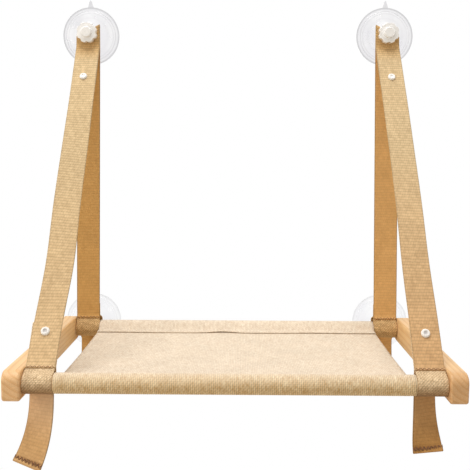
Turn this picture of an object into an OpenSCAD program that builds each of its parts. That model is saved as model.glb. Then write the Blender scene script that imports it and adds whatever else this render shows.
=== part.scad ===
// Window hammock for a cat: a cloth sling on a wooden frame that webbing straps hang from four suction cups.
// Lengths are millimetres. +Z is up, the window glass is the plane Y = 0 and the room is on the -Y side.
// The origin lies on the glass, midway between the two lower cups and level with the rear bar's axis.

/* [Wooden frame] */
// Distance between the inner faces of the two side arms
arm_gap = 562; // [480:1:640]
// Thickness of a side arm
arm_t = 24; // [20:0.5:30]
// Height of a side arm, and the diameter of its round rear end
arm_h = 40; // [36:0.5:50]
// Rounding of a side arm's long edges
arm_round = 3; // [1:0.5:5]
// Radius of the top corner at a side arm's front end
nose_r = 14; // [10:0.5:18]
// Radius of the bottom corner at that end
toe_r = 5; // [5:0.5:9]
// Diameter of the two round bars
bar_d = 25; // [20:0.5:28]
// Distance between the axes of the two bars
bar_spacing = 310; // [260:1:360]
// Depth of the blind hole in an arm that takes the end of a bar
bar_seat = 14; // [10:0.5:16]
// Shank diameter of the countersunk screw in each end of a bar
screw_d = 4.5; // [3.5:0.1:6]
// Length of that screw, head included
screw_len = 42; // [30:1:60]
// Head diameter of that screw
screw_head_d = 9; // [8:0.1:11]

/* [Suction cups] */
// Diameter of a suction cup's rim
cup_d = 98; // [80:1:110]
// Distance from the glass to the face of a cup's boss
cup_h = 24; // [20:0.5:30]
// Height of a cup's bell where it meets the boss
dome_h = 15; // [12:0.5:18]
// Depth of the hollow under a cup
hollow_h = 8; // [5:0.5:10]
// Width of the flat band at the rim that seals on the glass
rim_w = 6; // [4:0.5:9]
// Thickness of a cup's lip at the rim
lip_t = 1.8; // [1.2:0.1:3]
// Height of the raised ring on a cup's bell
ring_h = 1; // [0.5:0.1:2]
// Diameter of a cup's boss
boss_d = 26; // [22:0.5:32]
// Width of the pull tab where it leaves the rim
tab_w = 12; // [8:0.5:18]
// Length of the pull tab past the rim
tab_len = 12; // [8:0.5:18]
// Thickness of the pull tab
tab_t = 1.8; // [1.2:0.1:2.5]
// Height of the upper cups above the rear bar's axis
cup_rise = 510; // [420:1:600]
// How far an upper cup stands inward of the loops below it
cup_inset = 4; // [0:0.5:8]
// Height of the lower cups above the rear bar's axis
lower_cup_rise = 4; // [0:0.5:8]

/* [Studs and knobs] */
// Diameter of the threaded stud in each cup
stud_d = 8; // [6:0.5:10]
// Diameter of the flange that anchors a stud in the boss
flange_d = 16; // [12:0.5:20]
// Thickness of that flange
flange_t = 3; // [2:0.5:4]
// Length of an upper stud past the boss
stud_reach = 18; // [16:0.5:24]
// Diameter of a knob across its lobes
knob_d = 35; // [30:0.5:42]
// Number of lobes round a knob
knob_lobes = 8; // [6:1:12]
// Diameter of the hollow between two lobes
scallop_d = 9; // [6:0.5:12]
// Depth of that hollow
scallop_depth = 2.2; // [1:0.1:3]
// Height of a knob's lobed grip
grip_h = 11; // [8:0.5:16]
// Diameter of the round hub on a knob
hub_d = 18; // [14:0.5:22]
// Height of the hub above the grip
hub_h = 4.5; // [3:0.5:8]
// Rounding of a knob's edges
knob_round = 1.8; // [0.5:0.1:2.5]
// Diameter of the washer under a knob
washer_d = 28; // [22:0.5:32]
// Thickness of that washer
washer_t = 1.5; // [1:0.1:3]
// Width across the flats of a lower cup's nut
nut_w = 13; // [11:0.5:16]
// Thickness of that nut
nut_t = 4.5; // [3:0.5:6]
// Room between that nut and the rear bar
nut_room = 2; // [1:0.5:5]

/* [Straps] */
// Width of the webbing
strap_w = 40; // [30:0.5:45]
// Thickness of the webbing
strap_t = 1.6; // [1.2:0.1:2]
// Room beside the webbing, to the arm and to the cloth
side_gap = 0.8; // [0.5:0.1:3]
// Height of the webbing's fold above an upper stud
fold_rise = 14; // [12:0.5:18]
// Distance below an upper stud where the legs leave the cup
knee_drop = 21; // [20:0.5:26]
// Length over which the webbing turns at a bend
strap_bend = 6; // [3:0.5:8]
// Distance from a bar's axis to where a loop's two layers meet
apex_rise = 22.5; // [21:0.5:30]
// Distance from that meeting point up to the end of a leg
foot_gap = 0.5; // [0.5:0.5:4]
// Distance from the front bar's axis to the end of a front loop's tab
front_tab = 85; // [82:1:110]
// Distance from the rear bar's axis to the end of a rear loop's tab
rear_tab = 44; // [34:1:80]
// Length of the folded end that the upper snap holds, from the bend down the leg
return_len = 82; // [80:1:120]
// Length of the left front tail
left_tail = 105; // [60:1:140]
// Length of the right front tail
right_tail = 86; // [60:1:140]
// Length of the two rear tails
rear_tail = 84; // [60:1:120]
// Twist of a hanging tail in degrees
tail_twist = 25; // [0:1:45]
// Length over which a tail takes up its twist
tail_turn = 26; // [15:1:40]
// Length of the folded hem at the end of a tail
tail_hem = 10; // [5:0.5:15]
// Distance that the left front tail's end curls into the room
left_curl = 26; // [0:1:40]
// Distance that the right front tail's end curls into the room
right_curl = 16; // [0:1:40]
// Distance that a rear tail's end curls into the room
rear_curl = 5; // [0:1:15]

/* [Snaps] */
// Diameter of a snap's cap
snap_d = 12.5; // [10:0.5:16]
// Height of a snap's cap
snap_h = 3.2; // [2:0.1:5]
// Diameter of a snap's post
post_d = 4; // [3:0.1:5]
// Diameter of the socket on a snap's post
socket_d = 11; // [8:0.5:14]
// Height of that socket
socket_h = 2.6; // [2:0.1:4]
// Distance from the bend down the leg to an upper snap
upper_snap_drop = 68; // [40:1:70]
// Distance from the front bar's axis up the leg to a lower snap
lower_snap_rise = 71; // [50:1:74]

/* [Cloth] */
// Thickness of the cloth
cloth_t = 1.2; // [0.8:0.1:1.8]
// Depth by which the cloth sags between its seams
cloth_sag = 2; // [0:0.5:15]
// Distance from the rear sleeve's round to its seam
rear_seam_gap = 5.5; // [4:0.5:15]
// Height of the two seams below the bars' axes
seam_drop = 1; // [0:0.5:4]
// Width of the hem that lies on the cloth at the rear seam
rear_hem = 14; // [4:0.5:20]
// Distance from the front sleeve's round to its seam
front_seam_gap = 12; // [8:0.5:20]
// Width of the hem under the cloth at the front seam
front_hem = 12; // [6:0.5:20]

/* [Hidden] */
$fn = 72;

// Colours
wood_tone = [0.90, 0.74, 0.53];
cloth_tone = [0.94, 0.87, 0.75];
webbing_tone = [0.82, 0.68, 0.47];
vinyl_tone = [0.88, 0.92, 0.94, 0.5];
snap_tone = [0.95, 0.95, 0.93];
steel_tone = [0.70, 0.71, 0.73];

// Clearances and overruns
overrun = 1;
seat_clear = 0.05;
run_clear = 0.05;
hole_clear = 0.3;
layer_gap = 0.3;
loop_clear = 0.3;
cloth_clear = 0.3;
tail_gap = 0.4;
tip_gap = 1.5;

// Small sizes of the screw's cross recess
recess_w = 1.4;
recess_len = 5;
recess_depth = 1.2;

// Shapes that named sizes scale
dome_shares = [1, 0.94, 0.86, 0.82, 0.78, 0.68, 0.56, 0.44, 0.32, 0.2, 0.1, 0];
ring_share = 0.82;
hollow_shares = [1, 0.85, 0.7, 0.55, 0.4, 0.25, 0.1];
cap_shares = [
    [0, 0], [1, 0], [1, 0.34], [0.9, 0.74], [0.72, 1], [0.5, 0.98], [0.36, 0.7], [0.2, 0.56], [0, 0.54]
];
boss_chamfer_share = 0.06;
tab_shares = [
    [-0.5, 0], [0.5, 0], [0.42, 0.3], [0.27, 0.62], [0.13, 0.9],
    [0, 1], [-0.13, 0.9], [-0.27, 0.62], [-0.42, 0.3]
];
seat_flat_share = 0.42;
untwist_share = 1.1;
bell_power = 1.5;
dome_foot_share = 0.85;

// Counts of points along curves
arc_steps = 28;
edge_steps = 6;
bend_steps = 6;
panel_steps = 24;
tail_steps = 24;

// Places that follow from the sizes above
bar_r = bar_d / 2;
layer = strap_t + layer_gap;
loop_r = bar_r + loop_clear + strap_t / 2;
loop_out = loop_r + strap_t / 2;
strap_x = arm_gap / 2 - side_gap - strap_w / 2;
upper_x = strap_x - cup_inset;
cloth_w = arm_gap - 2 * (strap_w + 2 * side_gap);
rear_y = -(cup_h + layer_gap + layer + nut_t + nut_room + bar_r);
front_y = rear_y - bar_spacing;
rear_clamp_y = -(cup_h + layer_gap + strap_t / 2);
front_clamp_y = rear_clamp_y - 2 * layer;
washer_y = front_clamp_y - strap_t / 2 - layer_gap;
knob_y = washer_y - washer_t - layer_gap;
nut_y = -(cup_h + layer_gap + layer);
lower_reach = layer_gap + layer + nut_t;
knob_bore = cup_h + stud_reach + knob_y + tip_gap;
flange_z = hollow_h + (cup_h - hollow_h - flange_t) / 2;

// The front leg runs in front of its loop's two tab layers and points at the bend under the upper cup
leg_off = layer + layer / 2;
knee = [front_clamp_y, cup_rise - knee_drop];
knee_vec = knee - [front_y, 0];
lean = atan2(knee_vec[0], knee_vec[1]) + asin(leg_off / norm(knee_vec));
foot = from_front([-leg_off, apex_rise + foot_gap]);
leg_dir = unit(foot - knee);
upper_snap = knee + leg_dir * upper_snap_drop;
lower_snap = from_front([-leg_off, lower_snap_rise]);

// Both legs lean inward about their feet to meet the upper cup
toe = asin(cup_inset / (cup_rise - apex_rise));
upper_snap_x = strap_x - (upper_snap[1] - apex_rise) * sin(toe);

// A rear loop reaches back to the lower cup's boss, where the nut holds it
seat_back = rear_clamp_y - rear_y;
seat_top = lower_cup_rise + boss_d * seat_flat_share;
seat_low = lower_cup_rise - boss_d * seat_flat_share;
seat_tangent = tangent_angle([seat_back, seat_low], loop_r, -1);
tail_slope = atan2(seat_low - loop_r * sin(seat_tangent), seat_back - loop_r * cos(seat_tangent));
rear_tail_y = (seat_back + loop_r * cos(seat_tangent)) / 2;
rear_tail_z = (seat_low + loop_r * sin(seat_tangent)) / 2
    - strap_t / 2 / cos(tail_slope) - strap_t / 2 * tan(tail_slope) - tail_gap;

// A front tail leaves the back of its loop a little below the bar's axis
tail_hang = 16;
front_tail_y = (loop_out + tail_gap + strap_t / 2) * cos(tail_hang);
front_tail_z = -(loop_out + tail_gap + strap_t / 2) * sin(tail_hang);

// The cloth closes a sleeve round each bar with a seam beside the bar, and sags a little between the seams
sleeve_r = bar_r + cloth_clear + cloth_t / 2;
cloth_layer = cloth_t + cloth_clear;
rear_seam = [rear_y - sleeve_r - rear_seam_gap, -seam_drop];
front_seam = [front_y + sleeve_r + front_seam_gap, -seam_drop];
panel_len = rear_seam[0] - front_seam[0];

function unit(v) = v / norm(v);
function left(v) = [-v[1], v[0]];
function reverse(v) = [for (i = [len(v) - 1:-1:0]) v[i]];
function smooth(u) = u * u * (3 - 2 * u);
function arc(c, r, a0, a1, steps) =
    [for (i = [0:steps]) let (a = a0 + (a1 - a0) * i / steps) c + r * [cos(a), sin(a)]];

// Angle on a circle round the origin where the line from p touches it, on the side given as 1 or -1
function tangent_angle(p, r, side) = atan2(p[1], p[0]) + side * acos(r / norm(p));

// Bends the corners of a path over the length c
function ease(p, c) = concat(
    [p[0]],
    [for (i = [1:len(p) - 2], k = [0:bend_steps])
        let (
            t = k / bend_steps,
            a = p[i] + c * unit(p[i - 1] - p[i]),
            b = p[i] + c * unit(p[i + 1] - p[i])
        )
        (1 - t) * (1 - t) * a + 2 * t * (1 - t) * p[i] + t * t * b],
    [p[len(p) - 1]]
);

// A path moved sideways by w, and the outline of a band of thickness t along it
function beside(p, w) =
    [for (i = [0:len(p) - 1])
        let (
            j = max(i, 1),
            k = min(i, len(p) - 2),
            n0 = left(unit(p[j] - p[j - 1])),
            n1 = left(unit(p[k + 1] - p[k])),
            n = unit(n0 + n1)
        )
        p[i] + n * w / (n * n0)];
function band(p, t) = concat(beside(p, t / 2), reverse(beside(p, -t / 2)));

// A point given across and along the front leg, from the front bar's axis
function from_front(v) =
    [front_y + v[0] * cos(lean) + v[1] * sin(lean), v[1] * cos(lean) - v[0] * sin(lean)];

// Outlines of a board with rounded edges, of its turned end and of the strip along its bottom edge
function round_rect(w, h, r) = concat(
    arc([w / 2 - r, h / 2 - r], r, 0, 90, edge_steps),
    arc([r - w / 2, h / 2 - r], r, 90, 180, edge_steps),
    arc([r - w / 2, r - h / 2], r, 180, 270, edge_steps),
    arc([w / 2 - r, r - h / 2], r, 270, 360, edge_steps)
);
function round_end(w, e, r) = concat(
    [[0, -w / 2]],
    arc([e - r, r - w / 2], r, -90, 0, edge_steps),
    arc([e - r, w / 2 - r], r, 0, 90, edge_steps),
    [[0, w / 2]]
);
function round_foot(w, h, r, t) = concat(
    arc([r - w / 2, r - h / 2], r, 180, 270, edge_steps),
    arc([w / 2 - r, r - h / 2], r, 270, 360, edge_steps),
    [[w / 2, t - h / 2], [-w / 2, t - h / 2]]
);

// Centre line of the cloth panel at the share s of its depth
function panel(s) =
    front_seam + s * (rear_seam - front_seam) - [0, 4 * cloth_sag * s * (1 - s)];

// Centre lines of the webbing, from the bar's axis: a loop hugging its bar, and one that reaches a cup
function loop_path(tab) =
    let (h = layer / 2, a = tangent_angle([layer / 2, apex_rise], loop_r, -1))
    concat(
        [[h, tab], [h, apex_rise]],
        arc([0, 0], loop_r, a, -180 - a, arc_steps),
        [[-h, apex_rise], [-h, tab]]
    );
function seat_path(tab) =
    let (h = layer / 2, a = tangent_angle([layer / 2, apex_rise], loop_r, -1))
    concat(
        ease([[h, tab], [h, apex_rise], [seat_back, seat_top], [seat_back, seat_low],
            loop_r * [cos(seat_tangent), sin(seat_tangent)]], strap_bend / 2),
        arc([0, 0], loop_r, seat_tangent - 180 / arc_steps, -180 - a, arc_steps),
        [[-h, apex_rise], [-h, tab]]
    );

// Extrudes a profile drawn in Y and Z over the width w, centred at x
module across(x, w) {
    translate([x - w / 2, 0, 0])
        rotate([90, 0, 90])
            linear_extrude(w)
                children();
}

// Turns a shape built along +Z so that it stands out of the glass, at x and z
module on_glass(x, z) {
    translate([x, 0, z])
        rotate([90, 0, 0])
            children();
}

// Places a shape on the front leg at p, with -Y out of the webbing's face
module on_leg(x, p) {
    translate([x, p[0], p[1]])
        rotate([-lean, 0, 0])
            children();
}

// Leans a leg inward about its foot
module toed_in() {
    translate([strap_x, 0, apex_rise])
        rotate([0, -toe, 0])
            translate([-strap_x, 0, -apex_rise])
                children();
}

module left_side() {
    mirror([1, 0, 0])
        children();
}

// Right side arm: a board with shaped ends, blind holes for the bars and countersunk screw holes
module arm() {
    difference() {
        translate([arm_gap / 2 + arm_t / 2, rear_y, 0]) {
            rotate([90, 0, 0])
                linear_extrude(bar_spacing + arm_h / 2 - nose_r)
                    polygon(round_rect(arm_t, arm_h, arm_round));
            arm_end();
            translate([0, -bar_spacing, 0])
                mirror([0, 1, 0])
                    arm_nose();
        }
        for (y = [rear_y, front_y]) {
            translate([arm_gap / 2 - overrun, y, 0])
                rotate([0, 90, 0])
                    cylinder(d = bar_d + 2 * seat_clear, h = bar_seat + overrun);
            at_screw(y)
                screw_hole();
        }
    }
}

module arm_end() {
    rotate([0, 90, 0])
        rotate_extrude(angle = 180)
            polygon(round_end(arm_t, arm_h / 2, arm_round));
}

// Front end of an arm, built facing +Y: a round top corner, an upright face and a small bottom corner
module arm_nose() {
    end = arm_h / 2;
    translate([0, end - nose_r, end - nose_r])
        arm_corner(nose_r, 90);
    translate([0, end - toe_r, toe_r - end])
        arm_corner(toe_r, 0);
    translate([0, end - nose_r, toe_r - end])
        linear_extrude(arm_h - nose_r - toe_r)
            rotate(90)
                polygon(round_end(arm_t, nose_r, arm_round));
    translate([0, end - toe_r, 0])
        rotate([90, 0, 0])
            linear_extrude(nose_r - toe_r)
                polygon(round_foot(arm_t, arm_h, arm_round, toe_r));
}

module arm_corner(r, turn) {
    rotate([0, 90, 0])
        rotate(turn)
            rotate_extrude(angle = 90)
                polygon(round_end(arm_t, r, arm_round));
}

// Screw axis at the right arm's outer face, pointing into the bar
module at_screw(y) {
    translate([arm_gap / 2 + arm_t, y, 0])
        rotate([0, -90, 0])
            children();
}

module screw_hole() {
    head_w = screw_head_d + 2 * seat_clear;
    hole_w = screw_d + 2 * seat_clear;
    translate([0, 0, -overrun])
        cylinder(d = head_w, h = overrun);
    cylinder(d1 = head_w, d2 = hole_w, h = (head_w - hole_w) / 2);
    cylinder(d = hole_w, h = screw_len + overrun);
}

module screw() {
    difference() {
        union() {
            cylinder(d1 = screw_head_d, d2 = screw_d, h = (screw_head_d - screw_d) / 2);
            cylinder(d = screw_d, h = screw_len);
        }
        for (a = [0, 90])
            rotate(a)
                translate([-recess_len / 2, -recess_w / 2, -overrun])
                    cube([recess_len, recess_w, recess_depth + overrun]);
    }
}

module bar(y) {
    reach = arm_gap + 2 * bar_seat;
    difference() {
        translate([-reach / 2, y, 0])
            rotate([0, 90, 0])
                cylinder(d = bar_d, h = reach);
        at_screw(y)
            screw_hole();
        left_side()
            at_screw(y)
                screw_hole();
    }
}

// Suction cup built along +Z from the glass: rim, bell with a raised ring, boss, pull tab and the stud's seat
module cup() {
    rim_r = cup_d / 2;
    boss_r = boss_d / 2;
    hollow_r = rim_r - rim_w;
    chamfer = boss_d * boss_chamfer_share;
    bell = [for (s = dome_shares) [
        boss_r + (rim_r - boss_r) * s,
        lip_t + (dome_h - lip_t) * pow(1 - s, bell_power) + (s == ring_share ? ring_h : 0)
    ]];
    under = [for (s = reverse(hollow_shares)) [hollow_r * s, hollow_h * (1 - s * s)]];
    difference() {
        union() {
            rotate_extrude()
                polygon(concat(
                    [[0, hollow_h]],
                    under,
                    [[rim_r, 0]],
                    bell,
                    [[boss_r, cup_h - chamfer], [boss_r - chamfer, cup_h], [0, cup_h]]
                ));
            pull_tab();
        }
        translate([0, 0, flange_z])
            cylinder(d = flange_d, h = flange_t);
        translate([0, 0, flange_z])
            cylinder(d = stud_d, h = cup_h - flange_z + overrun);
    }
}

// Leaf-shaped tab that lifts the rim off the glass
module pull_tab() {
    root = rim_w;
    translate([0, cup_d / 2 - root, lip_t * (1 - dome_foot_share)])
        linear_extrude(tab_t)
            polygon([for (s = tab_shares) [s[0] * tab_w, s[1] * (tab_len + root)]]);
}

module stud(reach) {
    translate([0, 0, flange_z])
        cylinder(d = flange_d, h = flange_t);
    translate([0, 0, flange_z])
        cylinder(d = stud_d, h = cup_h - flange_z + reach);
}

// Knob built along +Z from its seat: lobed grip, round hub and a blind bore for the stud
module knob() {
    grip_r = knob_d / 2;
    hub_r = hub_d / 2;
    top = grip_h + hub_h;
    difference() {
        rotate_extrude()
            polygon(concat(
                [[0, 0]],
                arc([grip_r - knob_round, knob_round], knob_round, -90, 0, edge_steps),
                arc([grip_r - knob_round, grip_h - knob_round], knob_round, 0, 90, edge_steps),
                [[hub_r, grip_h]],
                arc([hub_r - knob_round, top - knob_round], knob_round, 0, 90, edge_steps),
                [[0, top]]
            ));
        for (i = [0:knob_lobes - 1])
            rotate(360 * i / knob_lobes)
                translate([grip_r + scallop_d / 2 - scallop_depth, 0, -overrun])
                    cylinder(d = scallop_d, h = grip_h + 2 * overrun);
        translate([0, 0, -overrun])
            cylinder(d = stud_d + 2 * run_clear, h = knob_bore + overrun);
    }
}

module washer() {
    difference() {
        cylinder(d = washer_d, h = washer_t);
        translate([0, 0, -overrun])
            cylinder(d = stud_d + 2 * run_clear, h = washer_t + 2 * overrun);
    }
}

module nut() {
    difference() {
        cylinder(d = nut_w / cos(30), h = nut_t, $fn = 6);
        translate([0, 0, -overrun])
            cylinder(d = stud_d + 2 * run_clear, h = nut_t + 2 * overrun);
    }
}

// Round hole along Y for a stud, through webbing at x and z
module stud_hole(x, z, depth) {
    translate([x, -depth, z])
        rotate([-90, 0, 0])
            cylinder(d = stud_d + 2 * hole_clear, h = depth);
}

// Hole for a snap's post, through the webbing at a point of the front leg
module post_hole(x, p) {
    on_leg(x, p)
        rotate([90, 0, 0])
            cylinder(d = post_d + 2 * hole_clear, h = 2 * socket_d, center = true);
}

// Front leg: up from the front loop, over the fold at the stud, and back down to the upper snap
module front_strap() {
    top = [front_clamp_y, cup_rise + fold_rise];
    leg = ease([foot, knee, top], strap_bend);
    fold = arc(top + [layer / 2, 0], layer / 2, 180 - 180 / bend_steps, 180 / bend_steps, bend_steps);
    back = beside(ease([knee + leg_dir * return_len, knee, top], strap_bend), -layer);
    difference() {
        toed_in()
            across(strap_x, strap_w)
                polygon(band(concat(leg, fold, reverse(back)), strap_t));
        stud_hole(upper_x, cup_rise, -front_clamp_y + strap_t);
        post_hole(upper_snap_x, upper_snap);
        post_hole(strap_x, lower_snap);
    }
}

// Rear leg: from the upper stud down to the rear loop's tab
module rear_strap() {
    leg = ease([
        [rear_y - leg_off, apex_rise + foot_gap],
        [rear_y - leg_off, rear_tab],
        [rear_clamp_y, cup_rise - knee_drop],
        [rear_clamp_y, cup_rise + fold_rise]
    ], strap_bend);
    difference() {
        toed_in()
            across(strap_x, strap_w)
                polygon(band(leg, strap_t));
        stud_hole(upper_x, cup_rise, -front_clamp_y + strap_t);
    }
}

// Loop round the front bar, with a tab behind the leg that the lower snap holds
module front_loop() {
    difference() {
        translate([0, front_y, 0])
            rotate([-lean, 0, 0])
                across(strap_x, strap_w)
                    polygon(band(loop_path(front_tab), strap_t));
        post_hole(strap_x, lower_snap);
    }
}

// Loop round the rear bar, which the lower cup's stud holds at the back
module rear_loop() {
    difference() {
        translate([0, rear_y, 0])
            across(strap_x, strap_w)
                polygon(band(seat_path(rear_tab), strap_t));
        stud_hole(strap_x, lower_cup_rise, -nut_y);
    }
}

// Snap: a cap with its post, and the socket that the post is pressed into behind the layers of webbing
module snap_cap(layers) {
    rotate([90, 0, 0]) {
        translate([0, 0, strap_t / 2 + layer_gap])
            rotate_extrude()
                polygon([for (s = cap_shares) [s[0] * snap_d / 2, s[1] * snap_h]]);
        translate([0, 0, -(layers * layer - strap_t / 2 + socket_h)])
            cylinder(d = post_d, h = layers * layer + socket_h + layer_gap);
    }
}

module snap_socket(layers) {
    rotate([90, 0, 0])
        translate([0, 0, -(layers * layer - strap_t / 2 + socket_h)])
            difference() {
                cylinder(d = socket_d, h = socket_h);
                translate([0, 0, -overrun])
                    cylinder(d = post_d + 2 * seat_clear, h = socket_h + 2 * overrun);
            }
}

// Free end of the webbing: it hangs from a loop, twists, curls into the room and ends in a hem
function tail_centre(t, reach, curl) = [0, -curl * t * t, -reach * t];
function tail_turned(t, reach) =
    tail_twist * smooth(min(1, t * reach / tail_turn)) * (1 - untwist_share * t * t);
function tail_ring(t, reach, curl) =
    let (
        d = 1 / tail_steps / 2,
        run = unit(tail_centre(t + d, reach, curl) - tail_centre(t - d, reach, curl)),
        a = tail_turned(t, reach),
        w0 = [cos(a), sin(a), 0],
        w = unit(w0 - (w0 * run) * run),
        n = cross(run, w),
        half = (t * reach > reach - tail_hem ? strap_t : strap_t / 2),
        c = tail_centre(t, reach, curl)
    )
    [for (q = [[-1, -1], [1, -1], [1, 1], [-1, 1]]) c + q[0] * w * strap_w / 2 + q[1] * n * half];

module tail(reach, curl) {
    rings = [for (i = [0:tail_steps]) each tail_ring(i / tail_steps, reach, curl)];
    last = 4 * tail_steps;
    sides = [for (i = [0:tail_steps - 1], k = [0:3])
        let (a = 4 * i + k, b = 4 * i + (k + 1) % 4)
        each [[a, b, b + 4], [a, b + 4, a + 4]]];
    ends = [[2, 1, 0], [3, 2, 0], [last, last + 1, last + 2], [last, last + 2, last + 3]];
    polyhedron(rings, concat(sides, ends));
}

module front_tail(reach, curl) {
    translate([strap_x, front_y + front_tail_y, front_tail_z])
        tail(reach, curl);
}

module back_tail() {
    translate([strap_x, rear_y + rear_tail_y, rear_tail_z])
        tail(rear_tail, rear_curl);
}

module left_arm() {
    color(wood_tone) left_side() arm();
}

module right_arm() {
    color(wood_tone) arm();
}

module front_bar() {
    color(wood_tone) bar(front_y);
}

module rear_bar() {
    color(wood_tone) bar(rear_y);
}

module frame_screws() {
    color(steel_tone)
        for (y = [rear_y, front_y]) {
            at_screw(y) screw();
            left_side() at_screw(y) screw();
        }
}

// Sling: sleeves round both bars, closed by hems at the front seam underneath and the rear seam on top
module hammock_cloth() {
    near = front_seam - [front_y, 0];
    under = near - [0, cloth_layer];
    low = rear_seam - [rear_y, 0];
    high = low + [0, cloth_layer];
    path = concat(
        [panel(front_hem / panel_len) - [0, cloth_layer], front_seam - [0, cloth_layer]],
        arc([front_y, 0], sleeve_r, tangent_angle(under, sleeve_r, -1),
            tangent_angle(near, sleeve_r, 1) - 360, arc_steps),
        [for (i = [0:panel_steps]) panel(i / panel_steps)],
        arc([rear_y, 0], sleeve_r, tangent_angle(low, sleeve_r, 1) + (low[1] < 0 ? 360 : 0),
            tangent_angle(high, sleeve_r, -1) + 360, arc_steps),
        [rear_seam + [0, cloth_layer], panel(1 - rear_hem / panel_len) + [0, cloth_layer]]
    );
    color(cloth_tone)
        across(0, cloth_w)
            polygon(band(path, cloth_t));
}

module upper_left_cup() {
    color(vinyl_tone) on_glass(-upper_x, cup_rise) cup();
}

module upper_right_cup() {
    color(vinyl_tone) on_glass(upper_x, cup_rise) cup();
}

module lower_left_cup() {
    color(vinyl_tone) on_glass(-strap_x, lower_cup_rise) cup();
}

module lower_right_cup() {
    color(vinyl_tone) on_glass(strap_x, lower_cup_rise) cup();
}

module upper_left_stud() {
    color(snap_tone) on_glass(-upper_x, cup_rise) stud(stud_reach);
}

module upper_right_stud() {
    color(snap_tone) on_glass(upper_x, cup_rise) stud(stud_reach);
}

module lower_left_stud() {
    color(snap_tone) on_glass(-strap_x, lower_cup_rise) stud(lower_reach);
}

module lower_right_stud() {
    color(snap_tone) on_glass(strap_x, lower_cup_rise) stud(lower_reach);
}

module left_washer() {
    color(vinyl_tone) on_glass(-upper_x, cup_rise) translate([0, 0, -washer_y]) washer();
}

module right_washer() {
    color(vinyl_tone) on_glass(upper_x, cup_rise) translate([0, 0, -washer_y]) washer();
}

module left_knob() {
    color(vinyl_tone) on_glass(-upper_x, cup_rise) translate([0, 0, -knob_y]) knob();
}

module right_knob() {
    color(vinyl_tone) on_glass(upper_x, cup_rise) translate([0, 0, -knob_y]) knob();
}

module lower_left_nut() {
    color(snap_tone) on_glass(-strap_x, lower_cup_rise) translate([0, 0, -nut_y]) nut();
}

module lower_right_nut() {
    color(snap_tone) on_glass(strap_x, lower_cup_rise) translate([0, 0, -nut_y]) nut();
}

module left_rear_strap() {
    color(webbing_tone) left_side() rear_strap();
}

module right_rear_strap() {
    color(webbing_tone) rear_strap();
}

module left_rear_loop() {
    color(webbing_tone) left_side() rear_loop();
}

module right_rear_loop() {
    color(webbing_tone) rear_loop();
}

module left_front_strap() {
    color(webbing_tone) left_side() front_strap();
}

module right_front_strap() {
    color(webbing_tone) front_strap();
}

module left_front_loop() {
    color(webbing_tone) left_side() front_loop();
}

module right_front_loop() {
    color(webbing_tone) front_loop();
}

module upper_left_snap_cap() {
    color(snap_tone) on_leg(-upper_snap_x, upper_snap) snap_cap(2);
}

module upper_right_snap_cap() {
    color(snap_tone) on_leg(upper_snap_x, upper_snap) snap_cap(2);
}

module upper_left_snap_socket() {
    color(snap_tone) on_leg(-upper_snap_x, upper_snap) snap_socket(2);
}

module upper_right_snap_socket() {
    color(snap_tone) on_leg(upper_snap_x, upper_snap) snap_socket(2);
}

module lower_left_snap_cap() {
    color(snap_tone) on_leg(-strap_x, lower_snap) snap_cap(3);
}

module lower_right_snap_cap() {
    color(snap_tone) on_leg(strap_x, lower_snap) snap_cap(3);
}

module lower_left_snap_socket() {
    color(snap_tone) on_leg(-strap_x, lower_snap) snap_socket(3);
}

module lower_right_snap_socket() {
    color(snap_tone) on_leg(strap_x, lower_snap) snap_socket(3);
}

module left_front_tail() {
    color(webbing_tone) left_side() front_tail(left_tail, left_curl);
}

module right_front_tail() {
    color(webbing_tone) front_tail(right_tail, right_curl);
}

module left_rear_tail() {
    color(webbing_tone) left_side() back_tail();
}

module right_rear_tail() {
    color(webbing_tone) back_tail();
}

left_arm();
right_arm();
front_bar();
rear_bar();
frame_screws();
hammock_cloth();
upper_left_cup();
upper_right_cup();
lower_left_cup();
lower_right_cup();
upper_left_stud();
upper_right_stud();
lower_left_stud();
lower_right_stud();
left_washer();
right_washer();
left_knob();
right_knob();
lower_left_nut();
lower_right_nut();
left_rear_strap();
right_rear_strap();
left_rear_loop();
right_rear_loop();
left_front_strap();
right_front_strap();
left_front_loop();
right_front_loop();
upper_left_snap_cap();
upper_right_snap_cap();
upper_left_snap_socket();
upper_right_snap_socket();
lower_left_snap_cap();
lower_right_snap_cap();
lower_left_snap_socket();
lower_right_snap_socket();
left_front_tail();
right_front_tail();
left_rear_tail();
right_rear_tail();
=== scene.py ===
# Looks of the cat window hammock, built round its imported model. Lengths are millimetres until a mesh is made.
# Materials, lamps and floor are in metres.
import math

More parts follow.
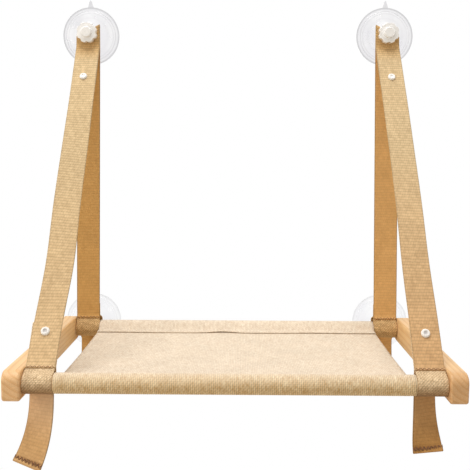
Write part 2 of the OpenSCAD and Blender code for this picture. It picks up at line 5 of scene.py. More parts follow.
import bpy
import bmesh
import numpy as np
from mathutils import Matrix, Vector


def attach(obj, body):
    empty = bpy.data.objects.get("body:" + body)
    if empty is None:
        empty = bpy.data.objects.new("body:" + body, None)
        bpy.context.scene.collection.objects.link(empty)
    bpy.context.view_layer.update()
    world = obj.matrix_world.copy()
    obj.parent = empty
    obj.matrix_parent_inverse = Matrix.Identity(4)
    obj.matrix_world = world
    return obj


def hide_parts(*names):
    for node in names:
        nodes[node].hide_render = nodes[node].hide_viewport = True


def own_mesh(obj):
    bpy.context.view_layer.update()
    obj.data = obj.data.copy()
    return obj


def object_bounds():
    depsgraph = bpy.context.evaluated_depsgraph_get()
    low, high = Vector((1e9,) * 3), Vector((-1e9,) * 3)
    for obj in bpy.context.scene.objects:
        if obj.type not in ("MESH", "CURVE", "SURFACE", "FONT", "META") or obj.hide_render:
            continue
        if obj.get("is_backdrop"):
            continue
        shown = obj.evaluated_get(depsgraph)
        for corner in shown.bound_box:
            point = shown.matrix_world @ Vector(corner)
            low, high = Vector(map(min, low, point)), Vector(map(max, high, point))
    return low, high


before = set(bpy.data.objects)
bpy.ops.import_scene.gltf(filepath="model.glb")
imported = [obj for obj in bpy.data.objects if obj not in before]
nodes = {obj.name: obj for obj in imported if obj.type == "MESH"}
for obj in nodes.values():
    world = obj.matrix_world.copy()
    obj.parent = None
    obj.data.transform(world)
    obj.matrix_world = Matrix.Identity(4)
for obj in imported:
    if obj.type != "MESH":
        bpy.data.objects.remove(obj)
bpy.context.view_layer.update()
scene = bpy.context.scene
MM = 0.001

# Sizes repeated from the part's source
BAR_R = 12.5
STRAP_W = 40.0
STRAP_T = 1.6
STRAP_X = 260.2
CLEAR_GAP = 0.3
LAYER = STRAP_T + CLEAR_GAP
LEG_OFF = 1.5 * LAYER
LOOP_R = BAR_R + CLEAR_GAP + STRAP_T / 2
REAR_Y = -45.2
FRONT_Y = -355.2
CUP_RISE = 510.0
CUP_INSET = 4.0
LOWER_CUP_RISE = 4.0
KNEE_DROP = 21.0
FOLD_RISE = 14.0
STRAP_BEND = 6.0
APEX_RISE = 22.5
FOOT_GAP = 0.5
FRONT_TAB = 85.0
REAR_TAB = 44.0
RETURN_LEN = 82.0
REAR_CLAMP_Y = -25.1
FRONT_CLAMP_Y = REAR_CLAMP_Y - 2 * LAYER
BOSS_D = 26.0
SEAT_SPAN = BOSS_D * 0.42
UNTWIST = 1.1
TAIL_HANG = 16.0
TAIL_GAP = 0.4
CLOTH_T = 1.2
CLOTH_W = 478.8
CLOTH_SAG = 2.0
SEAM_DROP = 1.0
REAR_SEAM_GAP = 5.5
FRONT_SEAM_GAP = 12.0
SLEEVE_R = BAR_R + CLEAR_GAP + CLOTH_T / 2
CLOTH_LAYER = CLOTH_T + CLEAR_GAP
REAR_HEM = 14.0
FRONT_HEM = 12.0

# Sizes of the drawn webbing and sewing
PICK = 2.365
RIB = 0.06
ROW_STEP = PICK / 6
FOOT_LAP = 5.0
LAP_BEND = 0.7 * FOOT_LAP
DOUBLED = 90.0
FOLD_SLANT = 20.0
TAB_CLEAR = 2.0
TAIL_TURN = 13.0
TAIL_HEM = 5.0
HEM_SLACK = 0.12
HEM_STITCH = 4.0
SIDES = (("left", -1.0), ("right", 1.0))


def unit(v):
    return np.asarray(v, float) / np.linalg.norm(v)


def smooth(t):
    """Eases a share from 0 to 1 in and out."""
    return t * t * (3 - 2 * t)


def arc(centre, radius, start, stop, steps):
    a = np.radians(np.linspace(start, stop, steps + 1))
    return np.asarray(centre) + radius * np.stack([np.cos(a), np.sin(a)], 1)


def tangent_angle(p, radius, side):
    return math.degrees(math.atan2(p[1], p[0]) + side * math.acos(radius / math.hypot(*p)))


def ease(points, reach, steps=10):
    """Bends the corners of a path over the length reach."""
    out = [np.asarray(points[0], float)]
    for before, at, after in zip(points, points[1:], points[2:]):
        at = np.asarray(at, float)
        a = at + reach * unit(np.asarray(before) - at)
        b = at + reach * unit(np.asarray(after) - at)
        for t in np.linspace(0, 1, steps + 1):
            out.append((1 - t) ** 2 * a + 2 * t * (1 - t) * at + t * t * b)
    return np.array(out + [np.asarray(points[-1], float)])


def resample(points, step):
    """Points at equal distances along a path, near step apart, with their distances."""
    points = np.asarray(points, float)
    gaps = np.linalg.norm(np.diff(points, axis=0), axis=1)
    points = points[np.concatenate([[True], gaps > 1e-9])]
    run = np.concatenate([[0], np.cumsum(np.linalg.norm(np.diff(points, axis=0), axis=1))])
    at = np.linspace(0, run[-1], max(2, int(round(run[-1] / step)) + 1))
    return np.stack([np.interp(at, run, points[:, k]) for k in range(points.shape[1])], 1), at


def sideways(points):
    """Unit normals on the left of a flat path."""
    d = np.gradient(points, axis=0)
    d /= np.linalg.norm(d, axis=1)[:, None]
    return np.stack([-d[:, 1], d[:, 0]], 1)


def beside(points, w):
    return points + w * sideways(points)


# Lines of the straps, in Y and Z
KNEE = np.array([FRONT_CLAMP_Y, CUP_RISE - KNEE_DROP])
KNEE_VEC = KNEE - [FRONT_Y, 0]
LEAN = math.atan2(*KNEE_VEC) + math.asin(LEG_OFF / np.linalg.norm(KNEE_VEC))


def from_front(off, along):
    """A point given across and along the front leg, from the front bar's axis."""
    return np.array([FRONT_Y + off * math.cos(LEAN) + along * math.sin(LEAN),
                     along * math.cos(LEAN) - off * math.sin(LEAN)])


FOOT = from_front(-LEG_OFF, APEX_RISE + FOOT_GAP)
LEG_DIR = unit(FOOT - KNEE)
LEG_LEN = np.linalg.norm(FOOT - KNEE)
SPLIT = KNEE + LEG_DIR * DOUBLED
TAB_TOP = from_front(-LEG_OFF, FRONT_TAB + TAB_CLEAR)
LEG_OUT = np.array([-math.cos(LEAN), math.sin(LEAN)])


def hoop(tab, close):
    """Line of a loop from its bar's axis: tab, round the bar, tab. close gives the back of the loop."""
    h = LAYER / 2
    a = tangent_angle((h, APEX_RISE), LOOP_R, -1)
    back, begin = close(h, a)
    return np.concatenate([back, arc((0, 0), LOOP_R, begin, -180 - a, 72), [(-h, APEX_RISE), (-h, tab)]])


def front_hoop():
    flat = hoop(FRONT_TAB, lambda h, a: ([(h, FRONT_TAB), (h, APEX_RISE)], a))
    return np.array([from_front(*p) for p in flat])


def rear_hoop():
    seat = REAR_CLAMP_Y - REAR_Y
    top, low = LOWER_CUP_RISE + SEAT_SPAN, LOWER_CUP_RISE - SEAT_SPAN
    touch = tangent_angle((seat, low), LOOP_R, -1)
    on_bar = LOOP_R * np.array([math.cos(math.radians(touch)), math.sin(math.radians(touch))])

    def close(h, a):
        return ease([(h, REAR_TAB), (h, APEX_RISE), (seat, top), (seat, low), on_bar], STRAP_BEND / 2), touch - 2.5

    return hoop(REAR_TAB, close) + [REAR_Y, 0], on_bar, np.array([seat, low])


def lapped_end():
    """End of a leg from its bar's axis, lying on the loop below the place where the loop's layers part."""
    h = LAYER / 2
    a = math.radians(-180 - tangent_angle((h, APEX_RISE), LOOP_R, -1))
    apex = np.array([-h, APEX_RISE])
    down = unit(LOOP_R * np.array([math.cos(a), math.sin(a)]) - apex)
    out = np.array([down[1], -down[0]])
    start = apex + out * LAYER
    corner = start + down * (-LEG_OFF - start[0]) / down[0]
    return corner + down * FOOT_LAP, corner, down, out


LAP_END, LAP_CORNER, LAP_DOWN, LAP_OUT = lapped_end()

# Camera: the photograph's viewing angle
FOCAL_PX, PICTURE_PX = 704.7, 470.0
PITCH, YAW, ROLL = (math.radians(a) for a in (6.156, 0.521, 0.205))
EYE = np.array([8.14, -1263.8, 297.1])
right = np.array([math.cos(YAW), math.sin(YAW), 0])
ahead = np.array([-math.sin(YAW) * math.cos(PITCH), math.cos(YAW) * math.cos(PITCH), -math.sin(PITCH)])
above = np.cross(right, ahead)
across_view = math.cos(ROLL) * right + math.sin(ROLL) * above
up_view = math.cos(ROLL) * above - math.sin(ROLL) * right
camera = bpy.data.objects.new("camera", bpy.data.cameras.new("camera"))
scene.collection.objects.link(camera)
camera.data.sensor_width = 36.0
camera.data.lens = FOCAL_PX * camera.data.sensor_width / PICTURE_PX
camera.matrix_world = Matrix([[*(float(v[k]) for v in (across_view, up_view, -ahead)), EYE[k] * MM] for k in range(3)]
                             + [[0, 0, 0, 1]])
scene.camera = camera
scene.view_settings.view_transform = "Standard"


# Node helpers
def put(tree, kind, inputs=None, out=0, **settings):
    """Adds a node, sets or links its inputs, and returns one of its outputs."""
    node = tree.nodes.new(kind)
    for key, value in settings.items():
        setattr(node, key, value)
    for key, value in (inputs or {}).items():
        if isinstance(value, bpy.types.NodeSocket):
            tree.links.new(value, node.inputs[key])
        else:
            node.inputs[key].default_value = value
    return node.outputs[out] if len(node.outputs) else node


def calc(tree, operation, a, b=0.0, clamp=False):
    return put(tree, "ShaderNodeMath", {0: a, 1: b}, operation=operation, use_clamp=clamp)


def blend(tree, factor, a, b, mode="MIX"):
    return put(tree, "ShaderNodeMix", {0: factor, 6: a, 7: b}, out=2, data_type="RGBA", blend_type=mode)


def span(tree, value, low, high, to_low, to_high):
    return put(tree, "ShaderNodeMapRange", {0: value, 1: low, 2: high, 3: to_low, 4: to_high})


def xyz_of(tree, vector):
    node = tree.nodes.new("ShaderNodeSeparateXYZ")
    tree.links.new(vector, node.inputs[0])
    return node.outputs


def effect(name, inputs, outputs):
    """A shader node group with named sockets: the tree, its inputs and the node that takes its outputs."""
    tree = bpy.data.node_groups.new(name, "ShaderNodeTree")
    for label, default in inputs.items():
        vector = default is None
        socket = tree.interface.new_socket(
            label, in_out="INPUT", socket_type="NodeSocketVector" if vector else "NodeSocketFloat")
        if not vector:
            socket.default_value = default
    for label in outputs:
        tree.interface.new_socket(label, in_out="OUTPUT", socket_type="NodeSocketFloat")
    return tree, tree.nodes.new("NodeGroupInput").outputs, tree.nodes.new("NodeGroupOutput").inputs


def use(tree, group, inputs):
    node = tree.nodes.new("ShaderNodeGroup")
    node.node_tree = group
    for key, value in inputs.items():
        if isinstance(value, bpy.types.NodeSocket):
            tree.links.new(value, node.inputs[key])
        else:
            node.inputs[key].default_value = value
    return node.outputs


THREADS_APART = 3.71
BEADING = 0.3
CROSS_SLUBS = 0.38


def woven_effect():
    """Weave on a UV map in metres: the height of the threads, and a tone that changes from thread to thread.
    Rows 0 is a plain weave and Rows 1 has straight ribs across the warp, parted by lines, or by rows of dots where
    Dots is high. Slub is thick and thin yarn both ways."""
    tree, given, made = effect("woven", {"Vector": None, "Warp Pitch": 0.0015, "Weft Pitch": 0.0015, "Run": 0.06,
                                         "Rows": 0.0, "Dots": 0.0, "Slub Pitch": 0.0015}, ("Height", "Tone", "Slub"))
    parts = xyz_of(tree, given["Vector"])
    u = calc(tree, "DIVIDE", parts[0], given["Warp Pitch"])
    v = calc(tree, "DIVIDE", parts[1], given["Weft Pitch"])
    at_u, at_v = calc(tree, "FLOOR", u), calc(tree, "FLOOR", v)

    def arch(across):
        return calc(tree, "ABSOLUTE", calc(tree, "SINE", calc(tree, "MULTIPLY", across, math.pi)))

    def crest(along, across, column, shift):
        bulge = arch(across)
        turn = calc(tree, "ADD", calc(tree, "ADD", along, column), shift)
        swing = calc(tree, "COSINE", calc(tree, "MULTIPLY", turn, math.pi))
        return calc(tree, "MULTIPLY", bulge, span(tree, swing, -1.0, 1.0, 0.0, 1.0))

    def thread(column, along, plane, flip):
        spots = {0: calc(tree, "MULTIPLY", column, THREADS_APART),
                 1: calc(tree, "MULTIPLY", along, given["Run"]), 2: plane}
        if flip:
            spots[0], spots[1] = spots[1], spots[0]
        place = put(tree, "ShaderNodeCombineXYZ", spots)
        return put(tree, "ShaderNodeTexNoise", {"Vector": place, "Scale": 1.0, "Detail": 2.0, "Roughness": 0.6})

    warp, weft = crest(v, u, at_u, 0.0), crest(u, v, at_v, 1.0)
    ribs = calc(tree, "MULTIPLY", arch(v), span(tree, arch(u), 0.0, 1.0, 1.0 - BEADING, 1.0))
    bridges = arch(calc(tree, "ADD", u, calc(tree, "MULTIPLY", at_v, 0.5)))
    ribs = calc(tree, "MAXIMUM", ribs, calc(tree, "MULTIPLY", bridges, given["Dots"]))
    plain = calc(tree, "MAXIMUM", warp, weft)
    tree.links.new(put(tree, "ShaderNodeMix", {0: given["Rows"], 2: plain, 3: ribs}), made["Height"])
    row_tone = thread(at_v, u, 9.0, True)
    tone = put(tree, "ShaderNodeMix", {0: calc(tree, "GREATER_THAN", warp, weft), 2: row_tone,
                                       3: thread(at_u, v, 0.0, False)})
    tree.links.new(put(tree, "ShaderNodeMix", {0: given["Rows"], 2: tone, 3: row_tone}), made["Tone"])
    sizes = put(tree, "ShaderNodeCombineXYZ", {0: given["Slub Pitch"], 1: given["Slub Pitch"], 2: 1.0})
    yarn = put(tree, "ShaderNodeVectorMath", {0: given["Vector"], 1: sizes}, operation="DIVIDE")

    def slub(stretch):
        spot = put(tree, "ShaderNodeVectorMath", {0: yarn, 1: stretch}, operation="MULTIPLY")
        return put(tree, "ShaderNodeTexNoise", {"Vector": spot, "Scale": 1.0, "Detail": 1.0, "Roughness": 0.5})

    both = put(tree, "ShaderNodeMix", {0: CROSS_SLUBS, 2: slub((1.0, 0.2, 1.0)), 3: slub((0.2, 1.0, 1.0))})
    tree.links.new(both, made["Slub"])
    return tree


def mottle_effect():
    """Soft uneven patches between Low and High."""
    tree, given, made = effect("mottle", {"Vector": None, "Scale": 20.0, "Low": 0.9, "High": 1.1}, ("Factor",))
    noise = put(tree, "ShaderNodeTexNoise", {"Vector": given["Vector"], "Scale": given["Scale"], "Detail": 3.0})
    tree.links.new(span(tree, noise, 0.3, 0.7, given["Low"], given["High"]), made["Factor"])
    return tree


def grain_effect():
    """Sawn pine with its grain along Y: late wood between the rings, and fine fibres."""
    tree, given, made = effect("pine_grain", {"Vector": None, "Ring Pitch": 0.006}, ("Late", "Fibre"))
    slow = put(tree, "ShaderNodeVectorMath", {0: given["Vector"], 1: (14.0, 2.2, 14.0)}, operation="MULTIPLY")
    wander = put(tree, "ShaderNodeTexNoise", {"Vector": slow, "Scale": 1.0, "Detail": 2.0}, out=1)
    drift = put(tree, "ShaderNodeVectorMath", {0: wander, 1: (0.5, 0.5, 0.5)}, operation="SUBTRACT")
    shift = put(tree, "ShaderNodeVectorMath", {0: drift, 1: (0.016, 0.0, 0.016)}, operation="MULTIPLY")
    bent = put(tree, "ShaderNodeVectorMath", {0: given["Vector"], 1: shift}, operation="ADD")
    flat = put(tree, "ShaderNodeVectorMath", {0: bent, 1: (1.0, 0.0, 1.0)}, operation="MULTIPLY")
    radius = put(tree, "ShaderNodeVectorMath", {0: flat}, out=1, operation="LENGTH")
    ring = calc(tree, "FRACT", calc(tree, "DIVIDE", radius, given["Ring Pitch"]))
    rise = put(tree, "ShaderNodeMapRange", {0: ring, 1: 0.35, 2: 0.9, 3: 0.0, 4: 1.0}, interpolation_type="SMOOTHSTEP")
    fall = put(tree, "ShaderNodeMapRange", {0: ring, 1: 0.92, 2: 1.0, 3: 1.0, 4: 0.0}, interpolation_type="SMOOTHSTEP")
    tree.links.new(calc(tree, "MULTIPLY", rise, fall), made["Late"])
    fine = put(tree, "ShaderNodeVectorMath", {0: given["Vector"], 1: (900.0, 22.0, 900.0)}, operation="MULTIPLY")
    tree.links.new(put(tree, "ShaderNodeTexNoise", {"Vector": fine, "Scale": 1.0, "Detail": 3.0}), made["Fibre"])
    return tree


WOVEN, MOTTLE, GRAIN = woven_effect(), mottle_effect(), grain_effect()


def finish_of(name, **plain):
    """A new material, with its tree and its surface shader, whose plain values are set."""
    material = bpy.data.materials.new(name)
    material.use_nodes = True
    tree = material.node_tree
    shader = tree.nodes["Principled BSDF"]
    for key, value in plain.items():
        shader.inputs[key.replace("_", " ")].default_value = value
    return material, tree, shader


def places(tree):
    return put(tree, "ShaderNodeTexCoord", out="Object")


def bump(tree, shader, height, distance, strength=1.0):
    normal = put(tree, "ShaderNodeBump", {"Height": height, "Distance": distance, "Strength": strength})
    tree.links.new(normal, shader.inputs["Normal"])


def tinted(colour, by):
    return tuple(min(1.0, c * b) for c, b in zip(colour, by))


EDGE_BAND = (0.0184, 0.0192)
THREAD_TONES = (0.36, 0.64)
# The crown tone lightens the tops of the threads: painted highlight.
CROWN, CROWN_TONE = 0.8, 1.03


def fabric(name, warp, weft, run, rows, dots, dark, light, gap, depth, sheen, slub=(0.0, 0.0015), roll=None, shade=None,
           edge=1.0, turned=False):
    """Woven cloth or webbing on the piece's own UV map, with the share and pitch of its slubs. roll has the dark,
    light and gap for the first part of the map, with the two lengths between which it fades out: painted shade on
    the sling's roll and the legs' feet, painted light on the tails' tops. shade has two heights and the tint reached
    between them: painted shade. gap darkens the colour between the threads, whose crowns are a little lighter:
    painted shade and painted highlight. edge darkens the selvedges of webbing. turned lets the rows run along the
    map instead of across it."""
    material, tree, shader = finish_of(name, Roughness=0.85, Sheen_Weight=sheen, Sheen_Roughness=0.45,
                                       Sheen_Tint=(1.0, 0.93, 0.82, 1.0), Specular_IOR_Level=0.25)
    cut = put(tree, "ShaderNodeUVMap", uv_map="weave")
    parts = xyz_of(tree, cut)
    if turned:
        cut = put(tree, "ShaderNodeCombineXYZ", {0: parts[1], 1: parts[0]})
    threads = use(tree, WOVEN, {"Vector": cut, "Warp Pitch": warp, "Weft Pitch": weft, "Run": run, "Rows": rows,
                                "Dots": dots, "Slub Pitch": slub[1]})
    tone = put(tree, "ShaderNodeMix", {0: slub[0], 2: threads["Tone"], 3: threads["Slub"]})
    tone = span(tree, tone, *THREAD_TONES, 0.0, 1.0)
    colour = blend(tree, tone, (*dark, 1), (*light, 1))
    # The thread height darkens the colour between the threads and lightens their crowns: painted shade and painted
    # highlight.
    relief = span(tree, threads["Height"], 0.0, CROWN, gap, CROWN_TONE)
    # roll: painted shade on the sling's roll and the legs' feet, painted light on the tails' tops
    if roll:
        deep, pale, gaps, near, far = roll
        here = span(tree, parts[1], near, far, 1.0, 0.0)
        colour = blend(tree, here, colour, blend(tree, tone, (*deep, 1), (*pale, 1)))
        rolled = span(tree, threads["Height"], 0.0, CROWN, gaps, CROWN_TONE)
        relief = put(tree, "ShaderNodeMix", {0: here, 2: relief, 3: rolled})
    patch = use(tree, MOTTLE, {"Vector": places(tree), "Scale": 26.0, "Low": 0.95, "High": 1.04})["Factor"]
    # shade: painted shade, tinted in between two heights
    if shade:
        start, stop, tint = shade
        here = span(tree, xyz_of(tree, places(tree))[2], start, stop, 0.0, 1.0)
        colour = blend(tree, here, colour, (*tint, 1), "MULTIPLY")
    rim = span(tree, calc(tree, "ABSOLUTE", parts[0]), *EDGE_BAND, 1.0, edge)
    relief = calc(tree, "MULTIPLY", relief, rim)
    colour = blend(tree, 1.0, colour, calc(tree, "MULTIPLY", relief, patch), "MULTIPLY")
    tree.links.new(colour, shader.inputs["Base Color"])
    bump(tree, shader, threads["Height"], depth, 0.7)
    return material


EARLY_WOOD, LATE_WOOD = (0.84, 0.56, 0.28), (0.77, 0.47, 0.205)
RING_PITCH = 0.0065
FIBRES = (0.3, 0.7)
# Span along Y of the front end's tint: end grain and painted shade.
END_GRAIN_AND_SHADE = (-0.340, -0.372)


def pine(name, centre, turn=0.0, end=(1.0, 1.0, 1.0)):
    """Pale pine. centre is the tree's heart beside the piece, turn lays the grain along X, end tints the front end,
    partly as its darker end grain and partly as painted shade.
    """
    material, tree, shader = finish_of(name, Specular_IOR_Level=0.4, Coat_Weight=0.12, Coat_Roughness=0.35)
    spot = put(tree, "ShaderNodeMapping", {"Vector": places(tree), "Location": centre, "Rotation": (0, 0, turn)})
    wood = use(tree, GRAIN, {"Vector": spot, "Ring Pitch": RING_PITCH})
    colour = blend(tree, wood["Late"], (*EARLY_WOOD, 1), (*LATE_WOOD, 1))
    fibre = span(tree, wood["Fibre"], *FIBRES, 0.86, 1.07)
    patch = use(tree, MOTTLE, {"Vector": spot, "Scale": 11.0, "Low": 0.93, "High": 1.06})["Factor"]
    colour = blend(tree, 1.0, colour, calc(tree, "MULTIPLY", fibre, patch), "MULTIPLY")
    near_end = span(tree, xyz_of(tree, places(tree))[1], *END_GRAIN_AND_SHADE, 0.0, 1.0)
    colour = blend(tree, near_end, colour, (*end, 1), "MULTIPLY")
    tree.links.new(colour, shader.inputs["Base Color"])
    tree.links.new(span(tree, wood["Fibre"], *FIBRES, 0.40, 0.56), shader.inputs["Roughness"])
    bump(tree, shader, wood["Fibre"], 0.00025, 0.5)
    return material


# Painted shade in the dished middle of each lower snap cap.
DIP_PAINTED_SHADE = (0.58, 0.55, 0.535)
DIP_REACH = (0.0022, 0.0036)


def moulded(name, colour, rough, ripple, dips=(), **plain):
    """Moulded plastic or plated metal with a slightly uneven skin, with painted shade in the dished middles at dips."""
    material, tree, shader = finish_of(name, **plain)
    skin = use(tree, MOTTLE, {"Vector": places(tree), "Scale": 55.0, "Low": rough * 0.8,
                              "High": rough * 1.25})["Factor"]
    tint = use(tree, MOTTLE, {"Vector": places(tree), "Scale": 30.0, "Low": 0.97, "High": 1.02})["Factor"]
    body = blend(tree, 1.0, (*colour, 1), tint, "MULTIPLY")
    for dip in dips:
        far = put(tree, "ShaderNodeVectorMath", {0: places(tree), 1: dip}, out=1, operation="DISTANCE")
        body = blend(tree, span(tree, far, *DIP_REACH, 1.0, 0.0), body, (*DIP_PAINTED_SHADE, 1))
    tree.links.new(body, shader.inputs["Base Color"])
    tree.links.new(skin, shader.inputs["Roughness"])
    bump(tree, shader, skin, ripple, 0.4)
    return material


def cap_middle(side):
    """The middle of a lower snap cap's face: on the cap's axis, as far out as its rim."""
    points = np.array([vertex.co for vertex in nodes[f"lower_{side}_snap_cap"].data.vertices])
    middle, out = points.mean(0), np.array([0.0, *LEG_OUT])
    return (middle + out * ((points - middle) @ out).max()).tolist()


# Grey bands at the cups' lip, tab and rings: partly the vinyl's own tint, partly painted shade.
CUP_LIP, CUP_TAB = (0.0455, 0.0475), (0.0488, 0.0495)
CUP_RINGS = ((0.0425, 0.0013, 0.75), (0.0386, 0.0012, 0.5), (0.0300, 0.0040, 0.2))
CUP_SHADOW = 0.12


def clear_cup(name, colour, line, x, z):
    """Clear vinyl for a pair of cups on the axes x and z. It is greyer by line at the lip, on its rings, in the tab
    and where it is seen edge-on: partly its own tint where it is thicker, partly painted shade for the darker
    surroundings seen through it. Most of the light that falls on what lies behind it passes."""
    material, tree, shader = finish_of(name, IOR=1.35, Specular_IOR_Level=0.35, Transmission_Weight=1.0)
    spot = put(tree, "ShaderNodeVectorMath", {0: places(tree)}, operation="ABSOLUTE")
    off = put(tree, "ShaderNodeVectorMath", {0: spot, 1: (x * MM, 0.0, z * MM)}, operation="SUBTRACT")
    flat = put(tree, "ShaderNodeVectorMath", {0: off, 1: (1.0, 0.0, 1.0)}, operation="MULTIPLY")
    radius = put(tree, "ShaderNodeVectorMath", {0: flat}, out=1, operation="LENGTH")
    tab = span(tree, radius, *CUP_TAB, 0.0, 0.5)
    thick_and_painted_shade = calc(tree, "SUBTRACT", span(tree, radius, *CUP_LIP, 0.0, 1.0), tab)
    for at, half, share in CUP_RINGS:
        far = calc(tree, "ABSOLUTE", calc(tree, "SUBTRACT", radius, at))
        thick_and_painted_shade = calc(tree, "MAXIMUM", thick_and_painted_shade, span(tree, far, 0.0, half, share, 0.0))
    # Greyer where the vinyl is seen edge-on: painted shade.
    facing = put(tree, "ShaderNodeLayerWeight", {"Blend": 0.5}, out="Facing")
    thick_and_painted_shade = calc(tree, "MAXIMUM", thick_and_painted_shade, calc(tree, "POWER", facing, 1.8), clamp=True)
    skin = use(tree, MOTTLE, {"Vector": places(tree), "Scale": 55.0, "Low": 0.24, "High": 0.36})["Factor"]
    cloud = use(tree, MOTTLE, {"Vector": places(tree), "Scale": 34.0, "Low": 0.0, "High": 1.0})["Factor"]
    pale = blend(tree, cloud, (*tinted(colour, (0.965, 0.96, 0.975)), 1), (*tinted(colour, (1.06, 1.055, 1.045)), 1))
    body = blend(tree, thick_and_painted_shade, pale, (*tinted(colour, (line, line, line)), 1))
    tree.links.new(body, shader.inputs["Base Color"])
    tree.links.new(skin, shader.inputs["Roughness"])
    bump(tree, shader, skin, 0.00002, 0.3)
    path = tree.nodes.new("ShaderNodeLightPath").outputs
    lighting = calc(tree, "MAXIMUM", path["Is Shadow Ray"], path["Is Diffuse Ray"])
    tree.links.new(span(tree, lighting, 0.0, 1.0, 1.0, CUP_SHADOW), shader.inputs["Alpha"])
    return material


RIBBED = (0.0018, 2 * PICK * MM, 0.3, 0.8, 0.75)
SAND, STRAW = (0.612, 0.45, 0.252), (0.762, 0.575, 0.333)
# Rear straps and tails take darker, more orange copies of the front webbing's colours: painted shade.
TAN, FAWN = (0.64, 0.344, 0.117), (0.72, 0.396, 0.138)
BUFF, CREAM = (0.64, 0.377, 0.164), (0.76, 0.468, 0.212)
# Lighter colours for the top of a tail, just below the bar: painted light.
TAIL_TOP_PAINTED_LIGHT, TAIL_TOP_PAINTED_PALE = (0.80, 0.53, 0.311), (0.88, 0.606, 0.368)
# Painted shade toward the foot of each front leg, much stronger on the right.
LOW_LEG_PAINTED_SHADE = {"left": (1.03, 0.97, 0.93), "right": (0.95, 0.79, 0.68)}
# Rear straps: the left painted darker, the right painted lighter: painted shade and painted light.
REAR_PAINTED_LIGHT = {"left": (0.90, 0.93, 0.88), "right": (1.10, 1.17, 1.28)}
# The right tail painted darker than the left: painted shade.
TAIL_PAINTED_SHADE = {"left": (1.0, 1.0, 1.0), "right": (0.76, 0.66, 0.48)}
WEBBING_FRONT, WEBBING_REAR, WEBBING_TAIL = {}, {}, {}
for side, _ in SIDES:
    # Front legs: painted shade toward the foot, through roll.
    low = LOW_LEG_PAINTED_SHADE[side]
    # A painted shadow of the knob on the strap's top, between heights 0.462 and 0.488.
    WEBBING_FRONT[side] = fabric(f"webbing_front_{side}", *RIBBED, SAND, STRAW, 0.6, 0.0004, 0.12,
                                 roll=(tinted(SAND, low), tinted(STRAW, low), 0.64, 0.04, 0.36),
                                 shade=(0.462, 0.488, (1.0, 0.86, 0.66)), edge=0.78)
    # Per-side painted light and shade on the rear straps.
    tone = REAR_PAINTED_LIGHT[side]
    WEBBING_REAR[side] = fabric(f"webbing_rear_{side}", *RIBBED, tinted(TAN, tone), tinted(FAWN, tone),
                                0.84, 0.0003, 0.08, edge=0.60)
    # Tails: the right one painted darker, and each top painted lighter through roll: painted shade and painted light.
    tone = TAIL_PAINTED_SHADE[side]
    WEBBING_TAIL[side] = fabric(f"webbing_tail_{side}", *RIBBED, tinted(BUFF, tone), tinted(CREAM, tone),
                                0.84, 0.0004, 0.08,
                                roll=(tinted(TAIL_TOP_PAINTED_LIGHT, tone), tinted(TAIL_TOP_PAINTED_PALE, tone), 0.92, 0.02, 0.08), edge=0.66)
PLAIN = (0.0021, 0.0021, 0.15, 0.2, 0.0)
LOOP_SLUBS = (0.5, 0.0014)
# Loops: painted shade below their bar, and the rear loops' colours darker copies of the front loops': painted shade.
WEBBING_LOOP = fabric("webbing_loop", *PLAIN, (0.50, 0.33, 0.173), (1.0, 0.774, 0.50), 0.66, 0.0006, 0.15, LOOP_SLUBS,
                      shade=(0.006, -0.013, (0.45, 0.32, 0.19)))
WEBBING_REAR_LOOP = fabric("webbing_rear_loop", *PLAIN, (0.44, 0.258, 0.104), (0.88, 0.60, 0.294), 0.64, 0.0006, 0.08,
                           LOOP_SLUBS, shade=(0.006, -0.013, (0.82, 0.76, 0.66)))
# The sling's front roll is painted darker and more orange through roll: painted shade.
LINEN = fabric("linen", 0.0026, 0.0025, 0.30, 0.7, 0.0, (0.70, 0.566, 0.428), (0.88, 0.773, 0.632), 0.88, 0.0006, 0.15,
               (0.3, 0.0016), ((0.66, 0.425, 0.19), (0.95, 0.755, 0.467), 0.54, 0.060, 0.088), turned=True)
# The right arm's end is tinted much darker than the left's: painted shade, besides the end grain.
PINE_LEFT = pine("pine_left", (0.262, 0.0, -0.045), end=(0.99, 0.94, 0.95))
PINE_RIGHT = pine("pine_right", (-0.325, 0.13, -0.038), end=(0.84, 0.76, 0.72))
PINE_BARS = pine("pine_bars", (0.05, 0.0, -0.05), math.pi / 2)
# The upper cups get a greyer copy of the vinyl than the lower ones: painted shade.
VINYL_UPPER = clear_cup("clear_vinyl_upper", (0.865, 0.86, 0.87), 0.74, STRAP_X - CUP_INSET, CUP_RISE)
VINYL_LOWER = clear_cup("clear_vinyl_lower", (0.95, 0.95, 0.96), 0.90, STRAP_X, LOWER_CUP_RISE)
CLEAR = moulded("clear_plastic", (0.99, 0.985, 0.98), 0.25, 0.00006, IOR=1.45, Transmission_Weight=0.04,
                Specular_IOR_Level=0.8, Coat_Weight=1.0, Coat_Roughness=0.15)
CAP_MIDDLES = [cap_middle(side) for side, _ in SIDES]
SNAP = moulded("snap_plastic", (0.90, 0.885, 0.86), 0.32, 0.00005, CAP_MIDDLES, IOR=1.5)
NYLON = moulded("white_nylon", (0.86, 0.86, 0.84), 0.40, 0.00006, IOR=1.5)
STEEL = moulded("zinc_steel", (0.62, 0.62, 0.63), 0.36, 0.00004, Metallic=1.0)


def thread_finish(name, colour):
    material, tree, shader = finish_of(name, Roughness=0.7, Sheen_Weight=0.2)
    ply = put(tree, "ShaderNodeTexWave", {"Vector": places(tree), "Scale": 900.0, "Distortion": 2.0})
    tint = span(tree, ply, 0.0, 1.0, 0.75, 1.15)
    tree.links.new(blend(tree, 1.0, (*colour, 1), tint, "MULTIPLY"), shader.inputs["Base Color"])
    bump(tree, shader, ply, 0.0001, 0.5)
    return material


BROWN_THREAD = thread_finish("brown_thread", (0.23, 0.10, 0.034))
CREAM_THREAD = thread_finish("cream_thread", (0.72, 0.58, 0.40))


